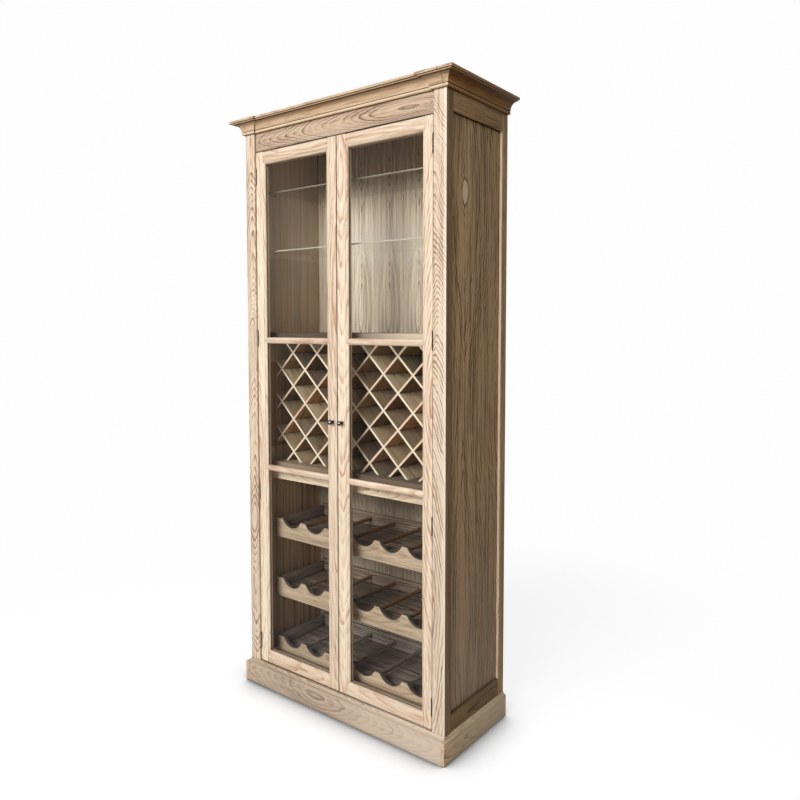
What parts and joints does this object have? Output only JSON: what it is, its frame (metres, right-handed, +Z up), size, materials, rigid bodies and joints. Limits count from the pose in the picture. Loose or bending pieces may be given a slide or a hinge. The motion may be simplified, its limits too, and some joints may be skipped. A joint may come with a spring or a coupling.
{
  "type": "wine cabinet",
  "caption": "Tall freestanding wine cabinet in limed oak with glazed double doors, glass display shelves, a diamond bottle lattice and sliding scalloped bottle trays.",
  "frame": {"origin": "middle of the cabinet on the ground, at the middle of the overall box", "axes": "+Z up, -Y towards the front of the cabinet, +X to the viewer's right"},
  "size_m": [1.1, 0.45, 2.35],
  "materials": {
    "limed_oak": "limed oak with an open cathedral grain, matt",
    "shaded_oak": "limed oak of the framed sides, matt",
    "inside_oak": "greyed oak veneer of the inside, matt",
    "tray_oak": "pale oak front edges of lattice and trays, matt",
    "tray_box_oak": "grey-brown oak of the tray bodies and rods, matt",
    "dark_metal": "dark bronzed metal, polished on the knobs",
    "clear_glass": "clear glass"
  },
  "bodies": {
    "cabinet": {"plinth_front": "limed_oak", "plinth_left": "shaded_oak", "plinth_right": "shaded_oak", "plinth_back": "inside_oak", "front_post_left": "limed_oak", "rear_post_left": "shaded_oak", "side_top_rail_left": "shaded_oak", "side_bottom_rail_left": "shaded_oak", "side_panel_left": "shaded_oak", "inner_side_left": "inside_oak", "front_post_right": "limed_oak", "rear_post_right": "shaded_oak", "side_top_rail_right": "shaded_oak", "side_bottom_rail_right": "shaded_oak", "side_panel_right": "shaded_oak", "inner_side_right": "inside_oak", "floor_board": "inside_oak", "display_floor": "inside_oak", "rack_top": "inside_oak", "rack_apron": "limed_oak", "back_panel": "inside_oak", "frieze_rail": "limed_oak", "top_board": "inside_oak", "glass_shelf_lower": "clear_glass", "glass_shelf_upper": "clear_glass", "cornice_front": "limed_oak", "cornice_left": "shaded_oak", "cornice_right": "shaded_oak", "wine_lattice": "tray_oak", "left_hinge_1": "dark_metal", "left_hinge_2": "dark_metal", "left_hinge_3": "dark_metal", "left_hinge_4": "dark_metal", "right_hinge_1": "dark_metal", "right_hinge_2": "dark_metal", "right_hinge_3": "dark_metal", "right_hinge_4": "dark_metal"},
    "left_door": {"left_door_hinge_stile": "limed_oak", "left_door_lock_stile": "limed_oak", "left_door_top_rail": "limed_oak", "left_door_bottom_rail": "limed_oak", "left_door_lower_bar": "limed_oak", "left_door_upper_bar": "limed_oak", "left_door_glass": "clear_glass", "left_door_knob": "dark_metal"},
    "right_door": {"right_door_hinge_stile": "limed_oak", "right_door_lock_stile": "limed_oak", "right_door_top_rail": "limed_oak", "right_door_bottom_rail": "limed_oak", "right_door_lower_bar": "limed_oak", "right_door_upper_bar": "limed_oak", "right_door_glass": "clear_glass", "right_door_knob": "dark_metal"},
    "tray_1": {"tray_1_front": "tray_oak", "tray_1_box": "tray_box_oak"},
    "tray_2": {"tray_2_front": "tray_oak", "tray_2_box": "tray_box_oak"},
    "tray_3": {"tray_3_front": "tray_oak", "tray_3_box": "tray_box_oak"}
  },
  "joints": [
    {"name": "left_door_hinge", "type": "hinge", "parent": "cabinet", "child": "left_door", "pos_m": [-0.4441, -0.1763, 1.157], "axis": [0, 0, -1], "range_deg": [0, 110]},
    {"name": "right_door_hinge", "type": "hinge", "parent": "cabinet", "child": "right_door", "pos_m": [0.4441, -0.1763, 1.157], "axis": [0, 0, 1], "range_deg": [0, 110]},
    {"name": "tray_1_slide", "type": "slide", "parent": "cabinet", "child": "tray_1", "axis": [0, -1, 0], "range_m": [0, 0.045]},
    {"name": "tray_2_slide", "type": "slide", "parent": "cabinet", "child": "tray_2", "axis": [0, -1, 0], "range_m": [0, 0.045]},
    {"name": "tray_3_slide", "type": "slide", "parent": "cabinet", "child": "tray_3", "axis": [0, -1, 0], "range_m": [0, 0.045]}
  ]
}
